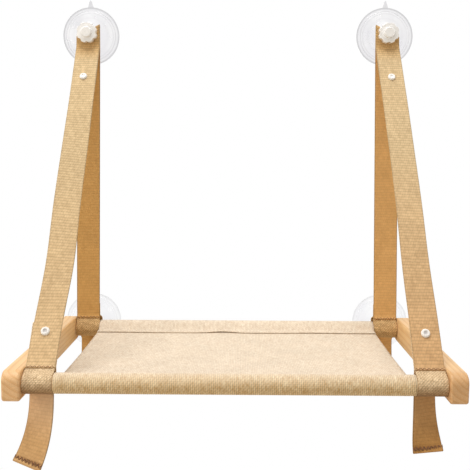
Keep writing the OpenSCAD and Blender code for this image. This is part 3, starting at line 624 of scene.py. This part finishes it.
# Carried-over solids
def coat(material, *names):
    for name in names:
        mesh = nodes[name].data
        mesh.materials.clear()
        mesh.materials.append(material)


coat(PINE_LEFT, "left_arm")
coat(PINE_RIGHT, "right_arm")
coat(PINE_BARS, "front_bar", "rear_bar")
coat(STEEL, "frame_screws")
for side, _ in SIDES:
    coat(CLEAR, f"{side}_knob", f"{side}_washer")
    coat(NYLON, f"upper_{side}_stud", f"lower_{side}_stud", f"lower_{side}_nut")
    for level, vinyl in (("upper", VINYL_UPPER), ("lower", VINYL_LOWER)):
        coat(vinyl, f"{level}_{side}_cup")
        coat(SNAP, f"{level}_{side}_snap_cap", f"{level}_{side}_snap_socket")


# Mesh helpers
def piece_from(name, points, faces, uvs=None, material=None):
    """A new object from points in millimetres, with one UV for each face corner."""
    mesh = bpy.data.meshes.new(name)
    mesh.from_pydata((np.asarray(points) * MM).tolist(), [], faces)
    if uvs is not None:
        layer = mesh.uv_layers.new(name="weave")
        layer.data.foreach_set("uv", (np.asarray(uvs, float) * MM).ravel())
    mesh.polygons.foreach_set("use_smooth", [True] * len(mesh.polygons))
    if material:
        mesh.materials.append(material)
    obj = bpy.data.objects.new(name, mesh)
    scene.collection.objects.link(obj)
    return obj


def face_out(obj):
    """Turns a closed piece's faces outwards."""
    work = bmesh.new()
    work.from_mesh(obj.data)
    bmesh.ops.recalc_face_normals(work, faces=work.faces)
    work.to_mesh(obj.data)
    work.free()


def frozen(obj):
    """Applies a piece's modifiers to its mesh."""
    made = bpy.data.meshes.new_from_object(obj.evaluated_get(bpy.context.evaluated_depsgraph_get()))
    obj.modifiers.clear()
    obj.data = made
    return obj


FLAT_SHARE = 0.94
FLAT_COLUMNS = np.linspace(-0.93, 0.93, 13)
SELVEDGE = [(0.955, 1.05), (0.985, 0.8), (1.0, 0.3)]
PROFILE = ([(a, 1.0) for a in FLAT_COLUMNS] + SELVEDGE + [(a, -h) for a, h in reversed(SELVEDGE)]
           + [(a, -1.0) for a in FLAT_COLUMNS[::-1]] + [(-a, -h) for a, h in SELVEDGE]
           + [(-a, h) for a, h in reversed(SELVEDGE)])


def ribbon(name, centres, across, outward, run, material, cut=None):
    """Webbing along a line: ribbed faces, thicker selvedges, closed ends. cut may move its finished points."""
    a = np.array([p[0] for p in PROFILE])
    h = np.array([p[1] for p in PROFILE])
    ribbed = np.abs(a) < FLAT_SHARE
    rib = -RIB * np.cos(2 * math.pi * run / PICK)
    lift = h[None, :] * STRAP_T / 2 + np.sign(h)[None, :] * ribbed[None, :] * rib[:, None]
    points = (centres[:, None, :] + across[:, None, :] * (a * STRAP_W / 2)[None, :, None]
              + outward[:, None, :] * lift[:, :, None])
    if cut:
        points = cut(points)
    rows, cols = len(centres), len(PROFILE)
    grid = np.arange(rows * cols).reshape(rows, cols)
    nxt = np.roll(grid, -1, axis=1)
    quads = np.stack([grid[:-1], nxt[:-1], nxt[1:], grid[1:]], -1).reshape(-1, 4)
    uv = np.stack(np.broadcast_arrays((a * STRAP_W / 2)[None, :], run[:, None]), -1).reshape(-1, 2)
    ends = [grid[0][::-1].tolist(), grid[-1].tolist()]
    corners = np.concatenate([quads.ravel(), ends[0], ends[1]])
    obj = piece_from(name, points.reshape(-1, 3), quads.tolist() + ends, uv[corners], material)
    for end in obj.data.polygons[-2:]:
        end.use_smooth = False
    face_out(obj)
    return obj


def slanted(k):
    """Lets the outer side of a strap's top sit lower than its inner side."""
    def cut(points):
        outer = np.clip(k * (points[..., 0] - k * (STRAP_X - CUP_INSET)) / STRAP_W + 0.5, 0, 1)
        high = np.clip((points[..., 2] - CUP_RISE + FOLD_SLANT) / (FOLD_SLANT + FOLD_RISE), 0, 1)
        points[..., 2] -= FOLD_SLANT * outer * smooth(high)
        return points

    return cut


def strap(name, path, x, material, sway=None, start=0.0, cut=None):
    """Flat webbing along a path in Y and Z, centred at x. sway gives its move along X and its turn to face +X."""
    line, run = resample(path, ROW_STEP)
    shift, turn = (np.zeros(len(run)),) * 2 if sway is None else sway(line)
    normal = np.column_stack([np.zeros(len(run)), sideways(line)])
    along_x = np.tile([1.0, 0.0, 0.0], (len(run), 1))
    c, s = np.cos(turn)[:, None], np.sin(turn)[:, None]
    centres = np.column_stack([x + shift, line])
    return ribbon(name, centres, c * along_x - s * normal, c * normal + s * along_x, run + start, material, cut)


def place(obj, body, slot, *stands_for):
    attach(obj, body)
    if stands_for:
        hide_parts(*stands_for)
    return obj


# Straps of each side
LEG_BOW = {"left": (3.0, 3.5), "right": (1.5, -1.5)}
LEG_TURN = {"left": 11.0, "right": 4.0}
LOW_BOW_AT, LOW_BOW_WIDTH = 0.73, 0.13
TURN_FROM, TURN_TO, TURN_RAMP = 0.18, 0.88, 0.25


def turned(p, pivot, angle):
    """A point in Y and Z turned about pivot, so that a positive angle lifts the room side."""
    d = np.asarray(p) - pivot
    c, s = math.cos(angle), math.sin(angle)
    return np.asarray(pivot) + [c * d[0] + s * d[1], c * d[1] - s * d[0]]


rear_loop_line, on_bar, seat_corner = rear_hoop()
strap_top = np.array([FRONT_CLAMP_Y, CUP_RISE + FOLD_RISE])


def front_top_line():
    """From the split, over the fold at the stud, and back down behind the leg."""
    front = ease([SPLIT, KNEE, strap_top], STRAP_BEND)
    bend = arc(strap_top + [LAYER / 2, 0], LAYER / 2, 180, 0, 16)[1:-1]
    back = beside(resample(ease([KNEE + LEG_DIR * RETURN_LEN, KNEE, strap_top], STRAP_BEND), 1.0)[0], -LAYER)
    return np.concatenate([front, bend, back[::-1]])


def lean_in(k):
    """How a leg leans inward from its foot to the upper cup."""
    def sway(line):
        up = np.clip((line[:, 1] - APEX_RISE) / (CUP_RISE - APEX_RISE), 0, 2)
        return -k * CUP_INSET * up, 0 * up

    return sway


def leg_sway(side, k):
    """How a slack front leg also strays sideways and turns between its knee and its foot."""
    whole, low = LEG_BOW[side]

    def sway(line):
        d = np.clip((line - KNEE) @ LEG_DIR / LEG_LEN, 0, 1)
        shift = whole * np.sin(math.pi * d) + low * np.exp(-((d - LOW_BOW_AT) / LOW_BOW_WIDTH) ** 2)
        rise = np.clip((d - TURN_FROM) / TURN_RAMP, 0, 1) * np.clip((TURN_TO - d) / TURN_RAMP, 0, 1)
        return lean_in(k)(line)[0] + shift, math.radians(LEG_TURN[side]) * smooth(rise)

    return sway


for side, k in SIDES:
    x = k * STRAP_X
    foot_line = ease([from_front(*LAP_END), from_front(*LAP_CORNER), TAB_TOP], LAP_BEND)
    foot_run = resample(foot_line, ROW_STEP)[1][-1]
    foot = strap(f"{side}_front_strap_foot", foot_line, x, WEBBING_FRONT[side], leg_sway(side, k))
    place(foot, f"{side}_front_loop_set", "webbing", f"{side}_front_strap")
    leg = strap(f"{side}_front_strap_leg", [TAB_TOP, SPLIT], x, WEBBING_FRONT[side], leg_sway(side, k), foot_run)
    place(leg, "window_mount", "webbing", f"{side}_front_strap")
    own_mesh(leg)
    top = strap(f"{side}_front_strap_top", front_top_line(), x, WEBBING_FRONT[side], leg_sway(side, k),
                foot_run + np.linalg.norm(SPLIT - TAB_TOP), slanted(k))
    place(top, "window_mount", "webbing", f"{side}_front_strap")
    wrap = strap(f"{side}_front_loop_webbing", front_hoop(), x, WEBBING_LOOP)
    place(wrap, f"{side}_front_loop_set", "webbing", f"{side}_front_loop")
    lap = ease([LAP_END + [REAR_Y, 0], LAP_CORNER + [REAR_Y, 0], (REAR_Y - LEG_OFF, REAR_TAB)], LAP_BEND)
    rise = ease([(REAR_Y - LEG_OFF, REAR_TAB - 2 * STRAP_BEND), (REAR_Y - LEG_OFF, REAR_TAB),
                 (REAR_CLAMP_Y, CUP_RISE - KNEE_DROP), (REAR_CLAMP_Y, CUP_RISE + FOLD_RISE)], STRAP_BEND)
    rear_line = np.concatenate([lap[:-1], rise])
    rear = strap(f"{side}_rear_strap_webbing", rear_line, x, WEBBING_REAR[side], lean_in(k), cut=slanted(k))
    place(rear, "window_mount", "webbing", f"{side}_rear_strap")
    back_wrap = strap(f"{side}_rear_loop_webbing", rear_loop_line, x, WEBBING_REAR_LOOP)
    place(back_wrap, "window_mount", "webbing", f"{side}_rear_loop")


# Tails: the free ends of the webbing, turned outwards, curled into the room, with a sewn hem
def tail_rows(reach, curl, sweep, stray, twist):
    """Centre, across, outward and direction along a tail on the right side, down to its hem."""
    t = np.linspace(0, 1, int(reach / ROW_STEP) + 1)
    begun = smooth(np.clip(t * reach / TAIL_TURN, 0, 1))
    centres = np.column_stack([sweep * t ** 3 + stray * begun, -curl * t * t, -reach * t])
    run = np.gradient(centres, axis=0)
    run /= np.linalg.norm(run, axis=1)[:, None]
    a = np.radians(twist * begun * (1 - UNTWIST * t ** 3))
    across = np.column_stack([np.cos(a), np.sin(a), 0 * a])
    across -= (across * run).sum(1)[:, None] * run
    across /= np.linalg.norm(across, axis=1)[:, None]
    outward = np.cross(across, run)
    outward *= np.where(outward[:, 1] < 0, 1, -1)[:, None]
    return centres, across, outward, run


def tuck_in(obj, body):
    """Gives a front tail's piece its own copy of its mesh when its body is listed in TUCK."""
    if body in TUCK:
        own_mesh(obj)


def tail(name, k, top, shape, body, node, material):
    """One tail with its folded hem. Returns its top, and the place and directions of its seam."""
    centres, across, outward, run = tail_rows(*shape)
    turn_r = STRAP_T / 2 + HEM_SLACK
    bend = np.linspace(0, math.pi, 9)[1:]
    end, e_out, e_run = centres[-1], outward[-1], run[-1]
    fold = [end + e_out * turn_r * (1 - math.cos(b)) + e_run * turn_r * math.sin(b) for b in bend]
    fold_out = [e_out * math.cos(b) - e_run * math.sin(b) for b in bend]
    count = int(TAIL_HEM / ROW_STEP)
    back = centres[-2:-2 - count:-1] + outward[-2:-2 - count:-1] * 2 * turn_r
    centres_all = np.concatenate([centres, fold, back])
    across_all = np.concatenate([across, np.tile(across[-1], (len(bend), 1)), across[-2:-2 - count:-1]])
    out_all = np.concatenate([outward, fold_out, -outward[-2:-2 - count:-1]])
    length = np.concatenate([[0], np.cumsum(np.linalg.norm(np.diff(centres_all, axis=0), axis=1))])
    mirror = np.array([k, 1.0, 1.0])
    obj = ribbon(name, (centres_all * mirror) + top, across_all * mirror, out_all * mirror, length, material)
    place(obj, body, "webbing", node)
    tuck_in(obj, body)
    edge = len(centres) - 2 - count
    return [top, (centres[edge] + outward[edge] * (2 * turn_r + STRAP_T / 2)) * mirror + top, across[edge] * mirror,
            -run[edge] * mirror, outward[edge] * mirror]


TAIL_OUT = LOOP_R + STRAP_T / 2 + TAIL_GAP + STRAP_T / 2
FRONT_TAIL_TOP = np.array([FRONT_Y + TAIL_OUT * math.cos(math.radians(TAIL_HANG)),
                           -TAIL_OUT * math.sin(math.radians(TAIL_HANG))])
slope = math.atan2(*(seat_corner - on_bar)[::-1])
REAR_TAIL_TOP = np.array([
    REAR_Y + (seat_corner + on_bar)[0] / 2,
    (seat_corner + on_bar)[1] / 2 - STRAP_T / 2 / math.cos(slope) - STRAP_T / 2 * math.tan(slope) - TAIL_GAP])
FRONT_TAILS = {"left": (105.0, 26.0, 15.0, 1.0, 22.0), "right": (86.0, 16.0, 3.0, -4.5, 32.0)}
REAR_TAIL = (84.0, 5.0, 0.0, 0.0, 25.0)
TUCK = {"left_front_tail_set": ((0.7, 0.7), 0.0, 0.77), "right_front_tail_set": ((1.0, 0.0), 8.0, 0.93)}
hems = {}
for side, k in SIDES:
    top = np.array([k * STRAP_X, *FRONT_TAIL_TOP])
    hems[f"{side}_front_tail_set"] = tail(f"{side}_front_tail_webbing", k, top, FRONT_TAILS[side],
                                          f"{side}_front_tail_set", f"{side}_front_tail", WEBBING_TAIL[side])
    top = np.array([k * STRAP_X, *REAR_TAIL_TOP])
    hems[f"{side}_rear_tail_set"] = tail(f"{side}_rear_tail_webbing", k, top, REAR_TAIL,
                                         f"{side}_rear_tail_set", f"{side}_rear_tail", WEBBING_REAR[side])


# Sling: one sheet with a sleeve round each bar, its rear hem on top and its front hem underneath
REAR_SEAM = np.array([REAR_Y - SLEEVE_R - REAR_SEAM_GAP, -SEAM_DROP])
FRONT_SEAM = np.array([FRONT_Y + SLEEVE_R + FRONT_SEAM_GAP, -SEAM_DROP])
PANEL_LEN = REAR_SEAM[0] - FRONT_SEAM[0]
PANEL_FROM, PANEL_TO = 0.12, 0.97
SLING_COLUMNS, SLING_ROWS, SLING_STEP = 121, 210, 1.2
MIDDLE_SAG = 1.5
PUCKER_X, PUCKER_W = -22.0, 24.0


def panel(share, sag=CLOTH_SAG):
    share = np.asarray(share, float)
    sunk = np.multiply.outer(4 * sag * share * (1 - share), [0, 1])
    return FRONT_SEAM + np.multiply.outer(share, REAR_SEAM - FRONT_SEAM) - sunk


def sling_line(sag, hem, lift):
    """Section of the cloth at one place across it."""
    near, low = FRONT_SEAM - [FRONT_Y, 0], REAR_SEAM - [REAR_Y, 0]
    under, high = near - [0, CLOTH_LAYER], low + [0, CLOTH_LAYER]
    front = arc((FRONT_Y, 0), SLEEVE_R,
                tangent_angle(under, SLEEVE_R, -1), tangent_angle(near, SLEEVE_R, 1) - 360, 60)
    rear = arc((REAR_Y, 0), SLEEVE_R,
               tangent_angle(low, SLEEVE_R, 1) + 360, tangent_angle(high, SLEEVE_R, -1) + 360, 60)
    hem_run = np.linspace(0, hem / PANEL_LEN, 12)
    rise = np.multiply.outer(CLOTH_LAYER + lift * (hem_run * PANEL_LEN / hem) ** 2, [0, 1])
    return np.concatenate([
        [panel(FRONT_HEM / PANEL_LEN) - [0, CLOTH_LAYER], FRONT_SEAM - [0, CLOTH_LAYER]],
        front,
        ease([front[-1], FRONT_SEAM, panel(PANEL_FROM, sag)], 6.0)[1:-1],
        panel(np.linspace(PANEL_FROM, PANEL_TO, 50), sag),
        ease([panel(PANEL_TO, sag), REAR_SEAM, rear[0]], 3.0)[1:-1],
        rear,
        panel(1 - hem_run, sag) + rise,
    ])


def sling():
    """The cloth with a slightly uneven hem, its cut length, and the line of its hem's stitches."""
    xs = np.linspace(-CLOTH_W / 2, CLOTH_W / 2, SLING_COLUMNS)
    rng = np.random.default_rng(7)
    waves = [(rng.uniform(0.01, 0.05), rng.uniform(0, 6.28), rng.uniform(0.3, 1.0)) for _ in range(6)]
    wave = sum(a * np.sin(f * xs + p) for f, p, a in waves) / 3
    columns, lengths = [], []
    for x, w in zip(xs, wave):
        middle = math.cos(math.pi * x / CLOTH_W)
        pucker = math.exp(-((x - PUCKER_X) / PUCKER_W) ** 2)
        line, run = resample(sling_line(CLOTH_SAG + MIDDLE_SAG * middle, REAR_HEM + 1.2 * w - 4.0 * pucker,
                                        0.5 + 0.4 * abs(w) + 1.2 * pucker), SLING_STEP)
        at = np.linspace(0, run[-1], SLING_ROWS)
        columns.append(np.stack([np.interp(at, run, line[:, c]) for c in range(2)], 1))
        lengths.append(at)
    lines = np.array(columns)
    points = np.concatenate([np.broadcast_to(xs[:, None, None], (len(xs), SLING_ROWS, 1)), lines], 2)
    grid = np.arange(len(xs) * SLING_ROWS).reshape(len(xs), SLING_ROWS)
    quads = np.stack([grid[:-1, :-1], grid[1:, :-1], grid[1:, 1:], grid[:-1, 1:]], -1).reshape(-1, 4)
    uv = np.stack([np.broadcast_to(xs[:, None], grid.shape), np.array(lengths)], -1).reshape(-1, 2)
    obj = piece_from("hammock_sling", points.reshape(-1, 3), quads.tolist(), uv[quads.ravel()], LINEN)
    solid = obj.modifiers.new("thickness", "SOLIDIFY")
    solid.thickness, solid.offset = CLOTH_T * MM, 0.0
    frozen(obj)
    face_out(obj)
    last = SLING_ROWS - 1
    hem_row = last - int(round(HEM_STITCH / np.mean([a[-1] / last for a in lengths])))
    return obj, float(np.mean([a[-1] for a in lengths])), points[:, hem_row]


cloth, cut_length, hem_line = sling()
place(cloth, "frame", "cloth", "hammock_cloth")


# Stitches, by one node tree: a short twist of thread at each point, lying along it and out of the surface
def stitch_tree():
    tree = bpy.data.node_groups.new("stitches", "GeometryNodeTree")
    tree.interface.new_socket("Geometry", in_out="INPUT", socket_type="NodeSocketGeometry")
    tree.interface.new_socket("Length", in_out="INPUT", socket_type="NodeSocketFloat")
    tree.interface.new_socket("Thickness", in_out="INPUT", socket_type="NodeSocketFloat")
    tree.interface.new_socket("Thread", in_out="INPUT", socket_type="NodeSocketMaterial")
    tree.interface.new_socket("Geometry", in_out="OUTPUT", socket_type="NodeSocketGeometry")
    given = tree.nodes.new("NodeGroupInput").outputs
    made = tree.nodes.new("NodeGroupOutput").inputs

    def carried(name):
        return put(tree, "GeometryNodeInputNamedAttribute", {"Name": name}, data_type="FLOAT_VECTOR")

    size = put(tree, "ShaderNodeCombineXYZ", {0: given["Length"], 1: given["Thickness"], 2: given["Thickness"]})
    twist = put(tree, "GeometryNodeMeshUVSphere", {"Segments": 8, "Rings": 6, "Radius": 0.5})
    twist = put(tree, "GeometryNodeTransform", {"Geometry": twist, "Scale": size})
    lie = put(tree, "FunctionNodeAlignRotationToVector", {"Vector": carried("along")}, axis="X")
    lie = put(tree, "FunctionNodeAlignRotationToVector", {"Rotation": lie, "Vector": carried("out")}, axis="Z",
              pivot_axis="X")
    row = put(tree, "GeometryNodeInstanceOnPoints", {"Points": given["Geometry"], "Instance": twist, "Rotation": lie})
    row = put(tree, "GeometryNodeRealizeInstances", {"Geometry": row})
    row = put(tree, "GeometryNodeSetShadeSmooth", {"Geometry": row})
    row = put(tree, "GeometryNodeSetMaterial", {"Geometry": row, "Material": given["Thread"]})
    tree.links.new(row, made[0])
    return tree


STITCHES = stitch_tree()


def sew(name, stitches, length, thickness, thread, body, slot):
    """Turns a list of (place, along, out) into one piece of stitching."""
    mesh = bpy.data.meshes.new(name)
    mesh.from_pydata([(np.asarray(s[0]) * MM).tolist() for s in stitches], [], [])
    for label, at in (("along", 1), ("out", 2)):
        layer = mesh.attributes.new(label, "FLOAT_VECTOR", "POINT")
        layer.data.foreach_set("vector", np.array([s[at] for s in stitches], float).ravel())
    obj = bpy.data.objects.new(name, mesh)
    scene.collection.objects.link(obj)
    modifier = obj.modifiers.new("stitches", "NODES")
    modifier.node_group = STITCHES
    named = {item.name: item.identifier for item in STITCHES.interface.items_tree if item.in_out == "INPUT"}
    modifier[named["Length"]] = length * MM
    modifier[named["Thickness"]] = thickness * MM
    modifier[named["Thread"]] = thread
    frozen(obj)
    return place(obj, body, slot)


def zigzag(centre, across, along, out, width, pitch, swing):
    """Stitches of a zigzag row across a strap."""
    count = int(width / pitch)
    rows = []
    for i in range(count):
        up = (swing if i % 2 else -swing) * jitter.uniform(0.6, 1.25)
        a = (i + 0.5 + jitter.uniform(-0.15, 0.15)) * pitch - count * pitch / 2
        rows.append((centre + across * a + along * jitter.uniform(-0.25, 0.25), unit(across * pitch + along * up), out))
    return rows


ZIG_PITCH, ZIG_SWING, ZIG_THREAD = 2.9, 3.6, 1.15
HEM_PITCH, HEM_SWING, HEM_LENGTH, HEM_THREAD = 2.5, 4.6, 4.8, 1.4
HEM_ROWS = (0.4, 2.2)
SLING_STITCHES, SLING_MARGIN = 118, 6
SLING_LENGTH, SLING_THREAD = 3.1, 0.5
SEAM_INSET, SEAM_LIFT = 0.4, 0.1
jitter = np.random.default_rng(11)
zig_length = math.hypot(ZIG_PITCH, ZIG_SWING) * 1.12
right_hand = np.array([1.0, 0.0, 0.0])
for side, k in SIDES:
    x = k * STRAP_X
    seam = LAP_END - LAP_DOWN * ZIG_SWING * SEAM_INSET + LAP_OUT * (STRAP_T / 2 + SEAM_LIFT)
    tilt = np.array([[math.cos(LEAN), math.sin(LEAN)], [-math.sin(LEAN), math.cos(LEAN)]])
    rows = zigzag(np.array([x, *from_front(*seam)]), right_hand, np.array([0, *(tilt @ -LAP_DOWN)]),
                  np.array([0, *(tilt @ LAP_OUT)]), STRAP_W - 1, ZIG_PITCH, ZIG_SWING)
    sew(f"{side}_front_seam", rows, zig_length, ZIG_THREAD, BROWN_THREAD, f"{side}_front_loop_set", "webbing")
    rows = zigzag(np.array([x, *(seam + [REAR_Y, 0])]), right_hand, np.array([0, *-LAP_DOWN]), np.array([0, *LAP_OUT]),
                  STRAP_W - 1, ZIG_PITCH, ZIG_SWING)
    sew(f"{side}_rear_seam", rows, zig_length, ZIG_THREAD, BROWN_THREAD, "window_mount", "webbing")
    for body in (f"{side}_front_tail_set", f"{side}_rear_tail_set"):
        top, place_at, across, along, out = hems[body]
        rows = []
        for shift in HEM_ROWS:
            rows += zigzag(place_at - along * shift, across, along, out, STRAP_W, HEM_PITCH, HEM_SWING)
        seam = sew(body.replace("_set", "_hem_seam"), rows, HEM_LENGTH, HEM_THREAD, BROWN_THREAD, body, "webbing")
        tuck_in(seam, body)


ends = np.linspace(SLING_MARGIN - CLOTH_W / 2, CLOTH_W / 2 - SLING_MARGIN, SLING_STITCHES)
hem_at = np.stack([np.interp(ends, hem_line[:, 0], hem_line[:, c]) for c in range(3)], 1)
rows = [((p + q) / 2 + [0, 0, CLOTH_T / 2], unit(q - p), (0.0, 0.0, 1.0)) for p, q in zip(hem_at, hem_at[1:])]
sew("sling_hem_seam", rows, SLING_LENGTH, SLING_THREAD, CREAM_THREAD, "frame", "cloth")


# Stage: a pale floor well below, soft light from above and the left
FLOOR_Z = -0.9
floor_mesh = bpy.data.meshes.new("floor")
floor_mesh.from_pydata([(-9, -6, FLOOR_Z), (9, -6, FLOOR_Z), (9, 12, FLOOR_Z), (-9, 12, FLOOR_Z)], [], [(0, 1, 2, 3)])
floor = bpy.data.objects.new("floor", floor_mesh)
scene.collection.objects.link(floor)
floor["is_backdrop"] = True


def seen_white(tree):
    """1 for rays from the camera, off gloss and through glass."""
    path = tree.nodes.new("ShaderNodeLightPath").outputs
    return calc(tree, "MAXIMUM", calc(tree, "MAXIMUM", path["Is Camera Ray"], path["Is Glossy Ray"]),
                path["Is Transmission Ray"])


floor_finish, tree, shader = finish_of("pale_floor", Roughness=0.9)
dust = use(tree, MOTTLE, {"Vector": places(tree), "Scale": 3.0, "Low": 0.97, "High": 1.0})["Factor"]
tree.links.new(blend(tree, 1.0, (0.70, 0.64, 0.55, 1), dust, "MULTIPLY"), shader.inputs["Base Color"])
glow = put(tree, "ShaderNodeEmission", {"Color": (1, 1, 1, 1), "Strength": 1.0})
level = put(tree, "ShaderNodeVectorMath", {0: places(tree), 1: (1.0, 1.0, 0.0)}, operation="MULTIPLY")
away = put(tree, "ShaderNodeVectorMath", {0: level}, out=1, operation="LENGTH")
bright = calc(tree, "MULTIPLY", seen_white(tree), span(tree, away, 0.6, 1.3, 0.8, 1.0))
mixed = put(tree, "ShaderNodeMixShader", {0: bright, 1: shader.outputs[0], 2: glow})
tree.links.new(mixed, tree.nodes["Material Output"].inputs[0])
floor_mesh.materials.append(floor_finish)

world = bpy.data.worlds.new("studio")
scene.world = world
world.use_nodes = True
tree = world.node_tree
room = put(tree, "ShaderNodeBackground", {"Color": (1.0, 0.93, 0.83, 1), "Strength": 0.50})
paper = put(tree, "ShaderNodeBackground", {"Color": (1, 1, 1, 1), "Strength": 1.0})
mixed = put(tree, "ShaderNodeMixShader", {0: seen_white(tree), 1: room, 2: paper})
tree.links.new(mixed, tree.nodes["World Output"].inputs[0])


def softbox(name, at, target, size, power, colour):
    lamp = bpy.data.lights.new(name, "AREA")
    lamp.shape, lamp.size, lamp.size_y = "RECTANGLE", *size
    lamp.energy, lamp.color = power, colour
    obj = bpy.data.objects.new(name, lamp)
    scene.collection.objects.link(obj)
    back = unit(np.subtract(at, target))
    x_axis = unit(np.cross((0.0, 1.0, 0.01), back))
    y_axis = np.cross(back, x_axis)
    obj.matrix_world = Matrix([[*(float(v[r]) for v in (x_axis, y_axis, back)), at[r]] for r in range(3)]
                              + [[0, 0, 0, 1]])


NEUTRAL, WARM = (1.0, 1.0, 1.0), (1.0, 0.95, 0.87)
softbox("overhead", (-0.4, -0.8, 3.4), (0.0, -0.2, 0.1), (2.6, 2.1), 93.0, NEUTRAL)
softbox("front", (-3.1, -1.4, 0.7), (0.0, -0.2, 0.1), (1.6, 1.6), 31.0, WARM)
softbox("window", (2.0, 0.8, 0.9), (-0.1, -0.2, 0.0), (1.8, 1.8), 11.0, WARM)

low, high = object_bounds()
